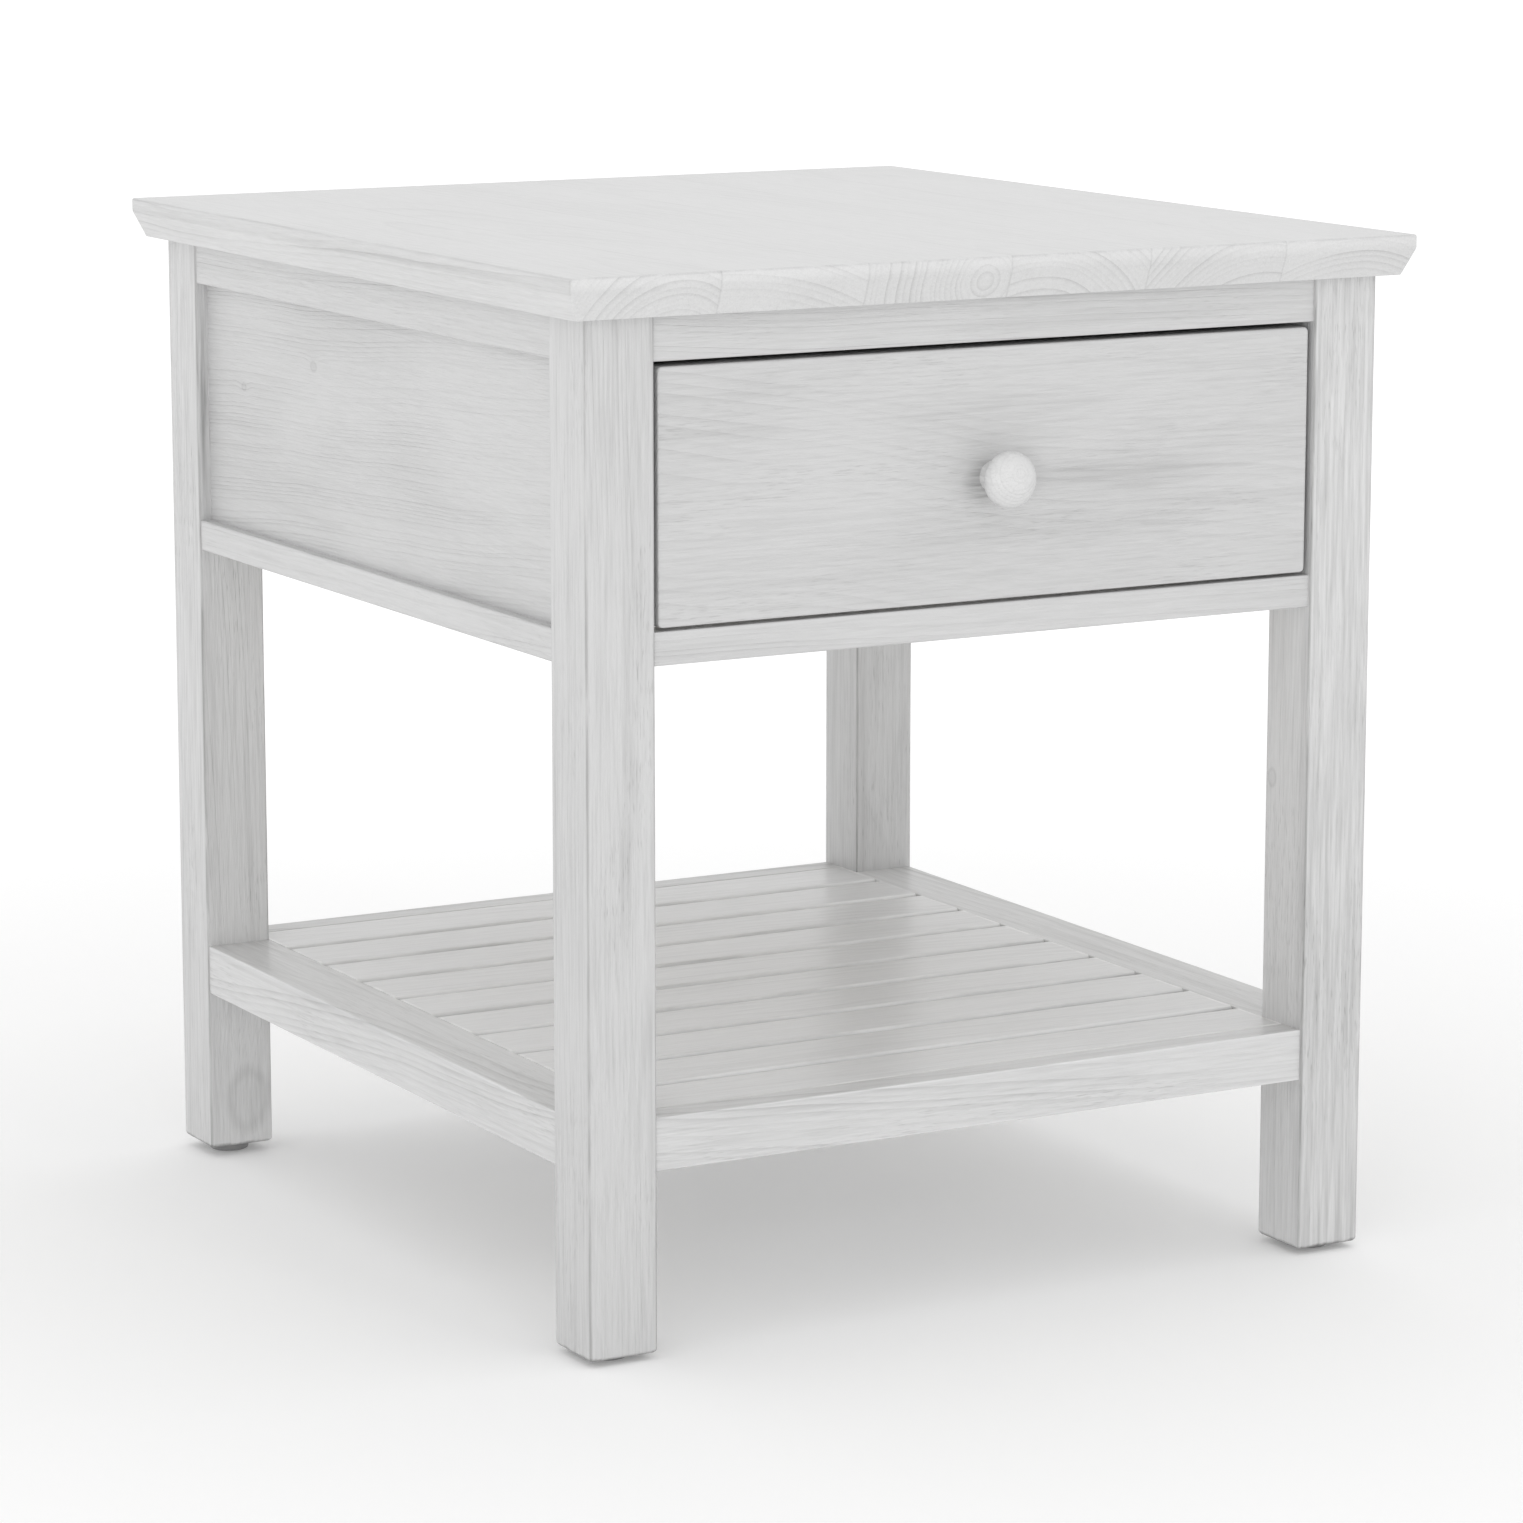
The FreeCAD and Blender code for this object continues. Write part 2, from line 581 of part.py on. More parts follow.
for number, (word, low, height) in enumerate(rail_sizes):
    left_rail = cut(side_rails[number], [side_panel], f"left_side_{word}")
    mirror(left_rail, f"right_side_{word}")
    cut(back_rails[number], [back_panel], f"back_{word}")
    keep(front_rails[number], f"front_{word}")
keep(side_panel, "left_side_panel")
mirror(side_panel, "right_side_panel")
keep(back_panel, "back_panel")
keep(shelf_front, "shelf_front_rail")
keep(shelf_back, "shelf_back_rail")
mirror(cut(shelf_side, frame_screws, "shelf_left_rail"), "shelf_right_rail")

# The shelf's slats and cleats, and the tabletop with the cleats that hold it.
for number in range(int(size_of("slat_count"))):
    cut(make_slat(number), frame_screws, f"shelf_slat_{number + 1:02d}")
shelf_cleat = board("shelf_left_cleat_board", ("cleat_width", slat_field, cleat_height),
                    (f"-{cleat_x}", 0, shelf_rail_low), "rail_arris", 1)
mirror(cut(shelf_cleat, frame_screws, "shelf_left_cleat"), "shelf_right_cleat")
top_cleat = board("left_top_cleat_board", ("top_cleat_side", side_length, "top_cleat_side"),
                  (f"-{top_cleat_x}", 0, f"({under_top} - top_cleat_side)"), "rail_arris", 1)
mirror(cut(top_cleat, frame_screws, "left_top_cleat"), "right_top_cleat")
cut(make_tabletop(), frame_screws, "tabletop")
keep(group(frame_screws, "frame_screw_set"), "frame_screws")

# The drawer slides. Each left piece is mirrored for the right.
case_screws = make_slide_screws("case", "slide_gauge", "case_screw_length", "-x")
drawer_screws = make_slide_screws("drawer", "(slide_thick - slide_gauge)", "drawer_screw_length", "+x")
batten = board("left_slide_batten_board", (batten_thick, side_length, "batten_height"),
               (f"-({inner_x} + {batten_thick} / 2)", 0, f"({slide_z} - batten_height / 2)"), "rail_arris", 1)
mirror(cut(batten, case_screws, "left_slide_batten"), "right_slide_batten")
mirror(cut(make_case_member(), case_screws, "left_slide_case_member"), "right_slide_case_member")
mirror(cut(make_drawer_member(), drawer_screws, "left_slide_drawer_member"), "right_slide_drawer_member")
mirror(make_cage(), "right_ball_cage")
for things, label in ((case_screws, "case_slide_screws"), (drawer_screws, "drawer_slide_screws"),
                      (make_balls(), "slide_balls"), ([make_bumper()], "slide_bumpers")):
    left = group(things, f"left_{label}")
    right = mirror(left, f"right_{label}_blank")
    keep(group([left, right], f"all_{label}"), label)

# The drawer: a rabbeted box with a grooved-in bottom behind a thick front.
bottom = new_body("drawer_bottom_board", 0, box_middle_y, f"({box_low} + bottom_lift)")
slab(bottom, "drawer_bottom_board", (f"(2 * ({box_inside_x} + box_rabbet))",
                                     f"({box_depth} - 2 * box_thick + 2 * box_rabbet)", "bottom_thick"))
front_screws = make_front_screws()
knob_screw = make_knob_screw()
cross_size = (f"(2 * ({box_inside_x} + box_rabbet))", "box_thick", "box_height")
box_front = board("drawer_box_front_board", cross_size,
                  (0, f"(box_thick / 2 - {front_back})", box_low), "box_arris", 0)
box_back = board("drawer_box_back_board", cross_size,
                 (0, f"({box_depth} - box_thick / 2 - {front_back})", box_low), "box_arris", 0)
box_side = board("drawer_left_side_board", ("box_thick", box_depth, "box_height"),
                 (f"(box_thick / 2 - {box_x})", box_middle_y, box_low), "box_arris", 1)
left_side = cut(box_side, [box_front, box_back, bottom, *drawer_screws], "drawer_left_side")
mirror(left_side, "drawer_right_side")
cut(box_front, [bottom, *front_screws, knob_screw], "drawer_box_front")
cut(box_back, [bottom], "drawer_box_back")
keep(bottom, "drawer_bottom")
cut(make_drawer_front(), [*front_screws, knob_screw], "drawer_front")
cut(make_knob(), [knob_screw], "drawer_knob")
keep(knob_screw, "knob_screw")
keep(group(front_screws, "front_screw_set"), "drawer_front_screws")

doc.recompute()
for thing in doc.Objects:
    if {"Invalid", "Error"} & set(thing.State):
        raise RuntimeError(f"{thing.Name} did not build: {thing.State}")
for piece in pieces:
    if piece.Shape.isNull() or not piece.Shape.isValid():
        raise RuntimeError(f"{piece.Label} has no sound shape")

os.makedirs("parts", exist_ok=True)
for piece in pieces:
    piece.Shape.exportStep(f"parts/{piece.Label}.step")
print(f"{len(pieces)} pieces written")
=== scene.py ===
import math

import bpy
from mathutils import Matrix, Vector


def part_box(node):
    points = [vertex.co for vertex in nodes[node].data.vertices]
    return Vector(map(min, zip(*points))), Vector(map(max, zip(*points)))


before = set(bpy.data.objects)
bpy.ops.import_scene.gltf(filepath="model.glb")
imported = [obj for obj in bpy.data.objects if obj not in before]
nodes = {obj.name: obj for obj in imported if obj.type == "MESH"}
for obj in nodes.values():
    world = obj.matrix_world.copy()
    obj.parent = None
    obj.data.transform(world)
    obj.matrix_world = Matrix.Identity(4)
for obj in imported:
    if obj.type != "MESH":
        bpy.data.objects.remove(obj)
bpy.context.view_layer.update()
print("frame loaded,", len(nodes), "pieces")


# helpers that build node trees

def feed(tree, sockets, values):
    for socket, value in zip(sockets, values):
        if isinstance(value, bpy.types.NodeSocket):
            tree.links.new(value, socket)
        else:
            socket.default_value = value


def calc(tree, operation, *values):
    node = tree.nodes.new("ShaderNodeMath")
    node.operation = operation
    feed(tree, node.inputs, values)
    return node.outputs[0]


def vectorCalc(tree, operation, *values):
    node = tree.nodes.new("ShaderNodeVectorMath")
    node.operation = operation
    feed(tree, node.inputs, values)
    return node.outputs["Value" if operation == "LENGTH" else "Vector"]


def splitVector(tree, vector):
    node = tree.nodes.new("ShaderNodeSeparateXYZ")
    feed(tree, node.inputs, (vector,))
    return list(node.outputs)


def joinVector(tree, *values):
    node = tree.nodes.new("ShaderNodeCombineXYZ")
    feed(tree, node.inputs, values)
    return node.outputs[0]


# noise over a vector in metres: density is lumps per metre along each of its axes
def noise(tree, vector, density, detail=2.0, output="Fac"):
    node = tree.nodes.new("ShaderNodeTexNoise")
    node.inputs["Scale"].default_value = 1.0
    node.inputs["Detail"].default_value = detail
    tree.links.new(vectorCalc(tree, "MULTIPLY", vector, density), node.inputs["Vector"])
    return node.outputs[output]


def whiteNoise(tree, value, output="Value"):
    node = tree.nodes.new("ShaderNodeTexWhiteNoise")
    node.noise_dimensions = "1D"
    feed(tree, (node.inputs["W"],), (value,))
    return node.outputs[output]


# a smooth step from one value to another
def fade(tree, value, start, end, before=0.0, after=1.0):
    node = tree.nodes.new("ShaderNodeMapRange")
    node.interpolation_type = "SMOOTHSTEP"
    sockets = [node.inputs[name] for name in ("Value", "From Min", "From Max", "To Min", "To Max")]
    feed(tree, sockets, (value, start, end, before, after))
    return node.outputs["Result"]


# patches of noise: the setting is its density, where a patch starts to show and where it is full
def patchwork(tree, place, setting, detail=2.0, before=0.0):
    density, start, end = setting
    return fade(tree, noise(tree, place, density, detail), start, end, before, 1.0)


def lessBy(tree, tone, amount, share):
    return calc(tree, "SUBTRACT", tone, calc(tree, "MULTIPLY", amount, share))


def mixColour(tree, factor, first, second):
    node = tree.nodes.new("ShaderNodeMix")
    node.data_type = "RGBA"
    sockets = [node.inputs[name] for name in ("Factor", "A", "B")]
    feed(tree, sockets, (factor, first, second))
    return node.outputs["Result"]


def newGroup(name, inputs, outputs):
    group = bpy.data.node_groups.new(name, "ShaderNodeTree")
    for direction, sockets in (("INPUT", inputs), ("OUTPUT", outputs)):
        for label, kind in sockets:
            group.interface.new_socket(label, in_out=direction, socket_type=kind)
    return group, group.nodes.new("NodeGroupInput").outputs, group.nodes.new("NodeGroupOutput").inputs


def useGroup(tree, group, values):
    node = tree.nodes.new("ShaderNodeGroup")
    node.node_tree = group
    feed(tree, [node.inputs[label] for label in values], values.values())
    return node.outputs


def newMaterial(name):
    material = bpy.data.materials.new(name)
    material.use_nodes = True
    tree = material.node_tree
    shader = tree.nodes["Principled BSDF"]
    place = tree.nodes.new("ShaderNodeTexCoord").outputs["Object"]
    return material, tree, shader, place


def addBump(tree, shader, height, depth):
    bump = tree.nodes.new("ShaderNodeBump")
    bump.inputs["Distance"].default_value = depth
    tree.links.new(height, bump.inputs["Height"])
    tree.links.new(bump.outputs["Normal"], shader.inputs["Normal"])


def dress(piece, material):
    nodes[piece].material_slots[0].material = material


# The figure of wood: rings round a pith, fibres, open grain and clouds.
# The vector "place" has its third axis along the grain, and densities are lumps per metre.

figure = {
    "swell": ((3.0, 3.0, 2.2), 0.030),      # slow bending of the rings: density and metres
    "ripple": ((14.0, 14.0, 9.0), 0.0045),  # small waves in them
    "ringDrift": 38.0,                      # how fast the rings' spacing changes, per metre
    "driftRings": 3.0,                      # how many rings it strays by
    "lateWood": 2.2,                        # how sharply a ring darkens towards its rim
    "rim": (0.86, 1.0),                     # where in a ring the dark wood fades out
    "years": (0.15, 1.4),                   # the faintest ring and the strongest
    # density, and the noise values where each starts and is full
    "ringPatches": ((10.0, 10.0, 4.0), 0.36, 0.62),
    "bands": ((150.0, 150.0, 5.0), 0.50, 0.74),
    "streaks": ((520.0, 520.0, 20.0), 0.40, 0.78),
    "openGrain": ((1300.0, 1300.0, 90.0), 0.57, 0.74),
    "openGrainPatches": ((34.0, 34.0, 9.0), 0.44, 0.64),
    "clouds": ((12.0, 12.0, 4.0), 0.35, 0.70),
    "faintRings": 0.40,                     # how strong the rings stay outside their patches
    "fibres": (1050.0, 1050.0, 60.0),
    "fibreDepth": 0.20,
    "fibresInBands": (0.30, 0.62, 0.35),    # fibres from and to which a band shows, and its least
    "ringHeight": 0.5,
    "fibreHeight": 0.8,
}
noiseMean = 0.5


def makeWoodFigure():
    floats = ("ringWidth", "ringDepth", "bandDepth", "streakDepth", "grainDepth", "cloudDepth", "knotPull")
    inputs = [("place", "NodeSocketVector"), ("pith", "NodeSocketVector"), ("lean", "NodeSocketVector")]
    inputs += [(label, "NodeSocketFloat") for label in floats]
    outputs = [("tone", "NodeSocketFloat"), ("height", "NodeSocketFloat")]
    tree, given, result = newGroup("woodFigure", inputs, outputs)
    place = given["place"]

    # the tree's rings, bent and leaning
    bent = vectorCalc(tree, "SUBTRACT", place, given["pith"])
    for name in ("swell", "ripple"):
        density, reach = figure[name]
        push = noise(tree, place, density, 1.0, "Color")
        push = vectorCalc(tree, "SUBTRACT", push, (noiseMean,) * 3)
        bent = vectorCalc(tree, "MULTIPLY_ADD", push, (reach, reach, 0.0), bent)
    along = splitVector(tree, place)[2]
    bent = vectorCalc(tree, "MULTIPLY_ADD", given["lean"], joinVector(tree, along, along, along), bent)
    radius = vectorCalc(tree, "LENGTH", vectorCalc(tree, "MULTIPLY", bent, (1.0, 1.0, 0.0)))
    radius = calc(tree, "ADD", radius, given["knotPull"])
    drift = noise(tree, joinVector(tree, radius, 0.0, 0.0), (figure["ringDrift"],) * 3, 1.0)
    count = calc(tree, "DIVIDE", radius, given["ringWidth"])
    count = calc(tree, "MULTIPLY_ADD", drift, figure["driftRings"], count)
    age = calc(tree, "FRACT", count)
    late = calc(tree, "POWER", age, figure["lateWood"])
    late = calc(tree, "MULTIPLY", late, fade(tree, age, *figure["rim"], 1.0, 0.0))
    year = whiteNoise(tree, calc(tree, "FLOOR", count))
    late = calc(tree, "MULTIPLY", late, fade(tree, year, 0.0, 1.0, *figure["years"]))
    patches = patchwork(tree, place, figure["ringPatches"], before=figure["faintRings"])
    rings = calc(tree, "MULTIPLY", late, patches)

    # fibres, streaks and open grain that holds glaze
    fibres = noise(tree, place, figure["fibres"])
    streaks = patchwork(tree, place, figure["streaks"], 3.0)
    bands = patchwork(tree, place, figure["bands"])
    bands = calc(tree, "MULTIPLY", bands, fade(tree, fibres, *figure["fibresInBands"], 1.0))
    ticks = patchwork(tree, place, figure["openGrain"], 1.0)
    ticks = calc(tree, "MULTIPLY", ticks, patchwork(tree, place, figure["openGrainPatches"]))
    clouds = patchwork(tree, place, figure["clouds"])

    tone = lessBy(tree, 1.0, rings, given["ringDepth"])
    tone = lessBy(tree, tone, bands, given["bandDepth"])
    tone = lessBy(tree, tone, streaks, given["streakDepth"])
    tone = lessBy(tree, tone, ticks, given["grainDepth"])
    tone = lessBy(tree, tone, clouds, given["cloudDepth"])
    swing = calc(tree, "SUBTRACT", fibres, noiseMean)
    tone = calc(tree, "MULTIPLY_ADD", swing, figure["fibreDepth"], tone)
    height = calc(tree, "MULTIPLY", fibres, figure["fibreHeight"])
    height = calc(tree, "MULTIPLY_ADD", rings, figure["ringHeight"], height)
    height = lessBy(tree, height, ticks, given["grainDepth"])
    tree.links.new(tone, result["tone"])
    tree.links.new(height, result["height"])
    return tree


woodFigure = makeWoodFigure()
print("wood figure made")


# whitewashed wood

whitewash = {
    "glazeAndShade": (0.150, 0.148, 0.145, 1.0),
    # the bright arris: partly rubbed finish, partly painted highlight
    "rubbedAndHighlit": (0.88, 0.88, 0.88, 1.0),
    "roughness": (0.36, 0.62),     # on full wash, and in the glaze and painted shade
    "coatRoughness": 0.26,
    "bumpDepth": 0.00035,
    "apart": 1.37,                 # how far along its own tree each piece lies from the last, m
    "crevice": 0.010,              # how far the painted corner shade reaches out of a corner, m
    "creviceLight": (0.35, 0.95),  # how open a corner is where the painted shade is full, and where it ends
    "brokenLine": ((80.0, 80.0, 12.0), 0.36, 0.60),
    "brokenLeast": 0.10,
    "jointLine": (0.0002, 0.0009),  # between two glued boards, m
    "jointDepth": 0.10,
    "knotDepth": 0.17,
    "brushed": ((420.0, 420.0, 16.0), 0.36, 0.64),
    "brushedLeast": 0.20,
    "markMiddle": 0.25,           # the share of the reach of each stain and painted shade that is full
    "paintedFootShade": (0.0002, 0.0022),  # m above the sole, where the painted shade at the foot is full and where it ends
    "footWander": -0.0012,         # how far the painted shade line at the foot wanders, m
    "belowFade": 0.006,            # how far the painted shade below a height spreads, m
    "ringsFade": 0.0004,           # and a change of the rings
}

# the three axes in the order across, across, along
grainOrder = {"x": (1, 2, 0), "y": (0, 2, 1), "z": (0, 1, 2)}

plainLook = {
    "grain": "z",
    "seed": 0,
    "washAndPaintedLight": 0.620,                 # how white the wash is; each piece's own value is partly its finish and partly painted light and shade
    "pith": (0.045, 0.060, 0.0),   # from the piece's middle, across the grain
    "lean": (0.010, 0.030, 0.0),
    "ringWidth": 0.0030,
    "ringDepth": 0.090,
    "bandDepth": 0.08,
    "streakDepth": 0.070,
    "grainDepth": 0.12,
    "cloudDepth": 0.055,
    "coat": 0.20,
    "edgeDepth": 0.12,             # above nought a dark line of glaze, below nought a bright one, partly rubbed finish and partly painted highlight
    "edgeLine": (0.0004, 0.0017),  # where the line on an arris starts to fade and ends, m
    # painted shade in corners, deepest where least light gets in
    "paintedCornerShade": 0.05,
    "paintedFootShade": 0.0,               # painted shade in a dark line round the bottom edge
    "shadeBelow": None,            # (drop from the piece's top, depth) of painted shade on all that is lower
    "ringsBelow": None,            # (drop from the piece's top, depth) of the rings on all that is lower
    "boards": None,                # width of glued boards across the first axis
    "knots": (),                   # (spot from the piece's middle, axis it runs along, radius)
    "stainsAndShade": (),                  # stains and painted shade: (spot from the piece's middle, reach along each axis, depth)
}


def edgeDistance(tree, place, low, high):
    middle, half = (low + high) / 2, (high - low) / 2
    away = vectorCalc(tree, "ABSOLUTE", vectorCalc(tree, "SUBTRACT", place, middle))
    dx, dy, dz = splitVector(tree, vectorCalc(tree, "SUBTRACT", half, away))
    nearer = calc(tree, "MINIMUM", dx, dy)
    further = calc(tree, "MAXIMUM", dx, dy)
    return calc(tree, "MAXIMUM", nearer, calc(tree, "MINIMUM", further, dz))


# a knot runs through the piece: the rings part round it, and its heart is dark
knotShape = {
    "length": 0.72,                # below one, it is longer along the grain
    "wobble": (45.0, 0.5),         # lumps per metre, and share of the radius
    "pull": (4.0, 0.9),            # how far out it moves the rings, and by how much, in radii
    "heart": (0.45, 1.05, 0.5),    # start, end and depth
    "rim": (0.55, 0.9, 1.3, 0.9),  # start, ridge, end and depth
}


def addKnots(tree, place, middle, look):
    pull, heart = 0.0, 0.0
    density, wander = knotShape["wobble"]
    pullReach, pullBy = knotShape["pull"]
    heartStart, heartEnd, heartDepth = knotShape["heart"]
    rimStart, ridge, rimEnd, rimDepth = knotShape["rim"]
    for spot, axis, radius in look["knots"]:
        stretch = [1.0, 1.0, 1.0]
        stretch["xyz".index(look["grain"])] = knotShape["length"]
        stretch["xyz".index(axis)] = 0.0
        offset = vectorCalc(tree, "SUBTRACT", place, middle + Vector(spot))
        offset = vectorCalc(tree, "MULTIPLY", offset, stretch)
        wobble = noise(tree, place, (density,) * 3)
        away = calc(tree, "MULTIPLY_ADD", wobble, radius * wander, vectorCalc(tree, "LENGTH", offset))
        away = calc(tree, "SUBTRACT", away, radius * wander * noiseMean)
        pull = calc(tree, "ADD", pull, fade(tree, away, 0.0, radius * pullReach, radius * pullBy, 0.0))
        inner = fade(tree, away, radius * heartStart, radius * heartEnd, heartDepth, 0.0)
        rise = fade(tree, away, radius * rimStart, radius * ridge)
        rim = calc(tree, "MULTIPLY", rise, fade(tree, away, radius * ridge, radius * rimEnd, 1.0, 0.0))
        heart = calc(tree, "ADD", heart, calc(tree, "MULTIPLY_ADD", rim, rimDepth, inner))
    return pull, heart


# stains and patches of painted shade, each fading out from its spot, broken by brushed streaks along the
# grain
def addStainsAndShade(tree, place, middle, figurePlace, look):
    total = 0.0
    for spot, reach, depth in look["stainsAndShade"]:
        inverse = [1.0 / length for length in reach]
        offset = vectorCalc(tree, "SUBTRACT", place, middle + Vector(spot))
        away = vectorCalc(tree, "LENGTH", vectorCalc(tree, "MULTIPLY", offset, inverse))
        total = calc(tree, "ADD", total, fade(tree, away, whitewash["markMiddle"], 1.0, depth, 0.0))
    brushed = patchwork(tree, figurePlace, whitewash["brushed"], 3.0, whitewash["brushedLeast"])
    return calc(tree, "MULTIPLY", total, brushed)


gluedBoards = {
    "aside": 50,                   # more boards than there are on either side of the middle
    "spread": (0.10, 0.05, 4.0),   # how differently they are cut from the tree, m
}


# the piece's own axes, across, across and along the grain, and the distance to a glued joint
def woodPlace(tree, place, look, middle):
    order = grainOrder[look["grain"]]
    parts = splitVector(tree, vectorCalc(tree, "SUBTRACT", place, middle))
    across, second, along = (parts[i] for i in order)
    if not look["boards"]:
        return joinVector(tree, across, second, along), None
    width, aside = look["boards"], gluedBoards["aside"]
    shifted = calc(tree, "ADD", across, width * aside)
    count = calc(tree, "FLOOR", calc(tree, "DIVIDE", shifted, width))
    boardMiddle = calc(tree, "MULTIPLY_ADD", count, width, width * (0.5 - aside))
    across = calc(tree, "SUBTRACT", across, boardMiddle)
    joint = calc(tree, "SUBTRACT", width / 2, calc(tree, "ABSOLUTE", across))
    luck = vectorCalc(tree, "SUBTRACT", whiteNoise(tree, count, "Color"), (noiseMean,) * 3)
    spread = vectorCalc(tree, "MULTIPLY", luck, gluedBoards["spread"])
    return vectorCalc(tree, "ADD", joinVector(tree, across, second, along), spread), joint


def lowerThan(tree, place, level, spread, below, above):
    return fade(tree, splitVector(tree, place)[2], level - spread, level, below, above)


# what a look hands on to the wood figure
figureInputs = (
    "pith", "lean", "ringWidth", "ringDepth",
    "bandDepth", "streakDepth", "grainDepth", "cloudDepth",
)


def makeWhitewash(piece, **changes):
    look = {**plainLook, **changes}
    material, tree, shader, place = newMaterial("whitewash_" + piece)
    low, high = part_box(piece)
    middle = (low + high) / 2
    own, joint = woodPlace(tree, place, look, middle)
    seeded = vectorCalc(tree, "ADD", own, (0.0, 0.0, whitewash["apart"] * look["seed"]))
    pull, heart = addKnots(tree, place, middle, look)
    values = {label: look[label] for label in figureInputs}
    if look["ringsBelow"]:
        drop, depth = look["ringsBelow"]
        spread = whitewash["ringsFade"]
        values["ringDepth"] = lowerThan(tree, place, high.z - drop, spread, depth, look["ringDepth"])
    tone, height = useGroup(tree, woodFigure, {"place": seeded, "knotPull": pull, **values})[:2]

    # the arrises, with a dark line where the glaze catches or a bright line that is partly rubbed finish
    # and partly painted highlight, and the glued joints
    line = fade(tree, edgeDistance(tree, place, low, high), *look["edgeLine"], 1.0, 0.0)
    broken = patchwork(tree, seeded, whitewash["brokenLine"], before=whitewash["brokenLeast"])
    line = calc(tree, "MULTIPLY", line, broken)
    tone = lessBy(tree, tone, line, max(look["edgeDepth"], 0.0))
    if joint is not None:
        seam = fade(tree, joint, *whitewash["jointLine"], 1.0, 0.0)
        tone = lessBy(tree, tone, seam, whitewash["jointDepth"])

    # painted shade in corners, round the foot and under a lip; glaze in knots; stains, some of them painted
    # shade
    if look["paintedCornerShade"]:
        nook = tree.nodes.new("ShaderNodeAmbientOcclusion")
        nook.samples = 4
        nook.inputs["Distance"].default_value = whitewash["crevice"]
        shade = fade(tree, nook.outputs["AO"], *whitewash["creviceLight"], look["paintedCornerShade"], 0.0)
        tone = calc(tree, "SUBTRACT", tone, shade)
    tone = lessBy(tree, tone, heart, whitewash["knotDepth"])
    if look["stainsAndShade"]:
        tone = calc(tree, "SUBTRACT", tone, addStainsAndShade(tree, place, middle, seeded, look))
    # painted shade round the foot, the thin shadow where the leg meets its glide
    if look["paintedFootShade"]:
        above = calc(tree, "SUBTRACT", splitVector(tree, place)[2], low.z)
        above = calc(tree, "MULTIPLY_ADD", broken, whitewash["footWander"], above)
        tone = lessBy(tree, tone, fade(tree, above, *whitewash["paintedFootShade"], 1.0, 0.0), look["paintedFootShade"])
    # painted shade on all below a height, as on the tabletop's lip and bevel
    if look["shadeBelow"]:
        drop, depth = look["shadeBelow"]
        shade = lowerThan(tree, place, high.z - drop, whitewash["belowFade"], 1.0, 0.0)
        tone = lessBy(tree, tone, shade, depth)
    tone = calc(tree, "MAXIMUM", tone, 0.0)

    white = (look["washAndPaintedLight"],) * 3 + (1.0,)
    # the tone mixes the wash towards the dark colour of glaze and painted shade
    colour = mixColour(tree, tone, whitewash["glazeAndShade"], white)
    # a bright arris, partly rubbed finish and partly painted highlight
    if look["edgeDepth"] < 0:
        wornAndHighlit = calc(tree, "MULTIPLY", line, -look["edgeDepth"])
        colour = mixColour(tree, wornAndHighlit, colour, whitewash["rubbedAndHighlit"])
    tree.links.new(colour, shader.inputs["Base Color"])
    smooth, rough = whitewash["roughness"]
    sheen = calc(tree, "MULTIPLY_ADD", tone, smooth - rough, rough)
    tree.links.new(sheen, shader.inputs["Roughness"])
    shader.inputs["Coat Weight"].default_value = look["coat"]
    shader.inputs["Coat Roughness"].default_value = whitewash["coatRoughness"]
    addBump(tree, shader, height, whitewash["bumpDepth"])
    return material


def paint(piece, **changes):
    dress(piece, makeWhitewash(piece, **changes))


tabletopLook = {
    "grain": "y",
    "boards": 0.093,
    "washAndPaintedLight": 0.70,
    "pith": (0.010, -0.045, 0.0),
    "lean": (0.015, 0.035, 0.0),
    "ringWidth": 0.0034,
    "ringDepth": 0.070,
    "bandDepth": 0.03,
    "streakDepth": 0.05,
    "grainDepth": 0.04,
    "cloudDepth": 0.030,
    "coat": 0.30,
    "shadeBelow": (0.003, 0.10),   # painted shade on the lip's foot and the bevel, all the way round
    "ringsBelow": (0.0004, 0.21),  # stronger rings on the slab's sides
}
paint("tabletop", seed=1, **tabletopLook)

legLook = {
    "grain": "z",
    "ringWidth": 0.0026,
    "ringDepth": 0.07,
    "bandDepth": 0.13,
    "streakDepth": 0.15,
    "grainDepth": 0.24,
    "edgeDepth": 0.42,
    # painted shade round the foot
    "paintedFootShade": 0.45,
}
legLow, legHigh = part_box("front_left_leg")
legFace = (legHigh.x - legLow.x) / 2  # how far its faces are from its middle
